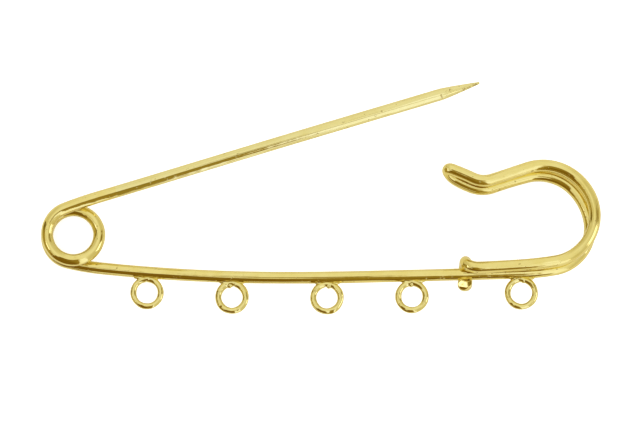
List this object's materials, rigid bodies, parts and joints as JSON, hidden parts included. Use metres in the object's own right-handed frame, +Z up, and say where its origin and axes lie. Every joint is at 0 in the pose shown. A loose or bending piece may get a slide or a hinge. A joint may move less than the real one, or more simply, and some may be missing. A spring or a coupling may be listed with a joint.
{
  "type": "safety pin brooch",
  "caption": "Gold-plated kilt pin of bent round wire, lying open, with a spring coil, a doubled crook catch and small charm loops soldered along its back bar.",
  "frame": {"origin": "on the axis of the spring's eye, where it meets the table", "axes": "+X along the bar from the spring to the catch, +Y from the bar's loops towards the open pin, +Z up from the table; the brooch lies as it rests, tilted a few degrees, on its spring, its catch's mouth and its wrapped wire end"},
  "size_m": [0.0848, 0.0353, 0.0057],
  "materials": {
    "gold_frame": "bright gold plating on bent iron wire, lightly uneven at the solder",
    "gold_spring": "bright gold plating on coiled iron wire",
    "gold_pin": "bright gold plating on drawn iron wire with a ground point"
  },
  "bodies": {
    "frame": {"back_bar": "gold_frame"},
    "spring": {"spring_coil": "gold_spring"},
    "pin": {"pin_stem": "gold_pin"}
  },
  "joints": [
    {"name": "pin_swing", "type": "hinge", "parent": "frame", "child": "spring", "pos_m": [0, 0, 0], "axis": [-0.0209, 0.1278, 0.9916], "range_deg": [-14.8, 20], "stiffness_Nm_per_rad": 0.1, "deforming": ["spring_coil"]},
    {"name": "pin_flex", "type": "hinge", "parent": "spring", "child": "pin", "pos_m": [0.00655, 0.00667, 0.00265], "axis": [0.2844, -0.9501, 0.1284], "range_deg": [-2.2, 4], "stiffness_Nm_per_rad": 0.15}
  ]
}
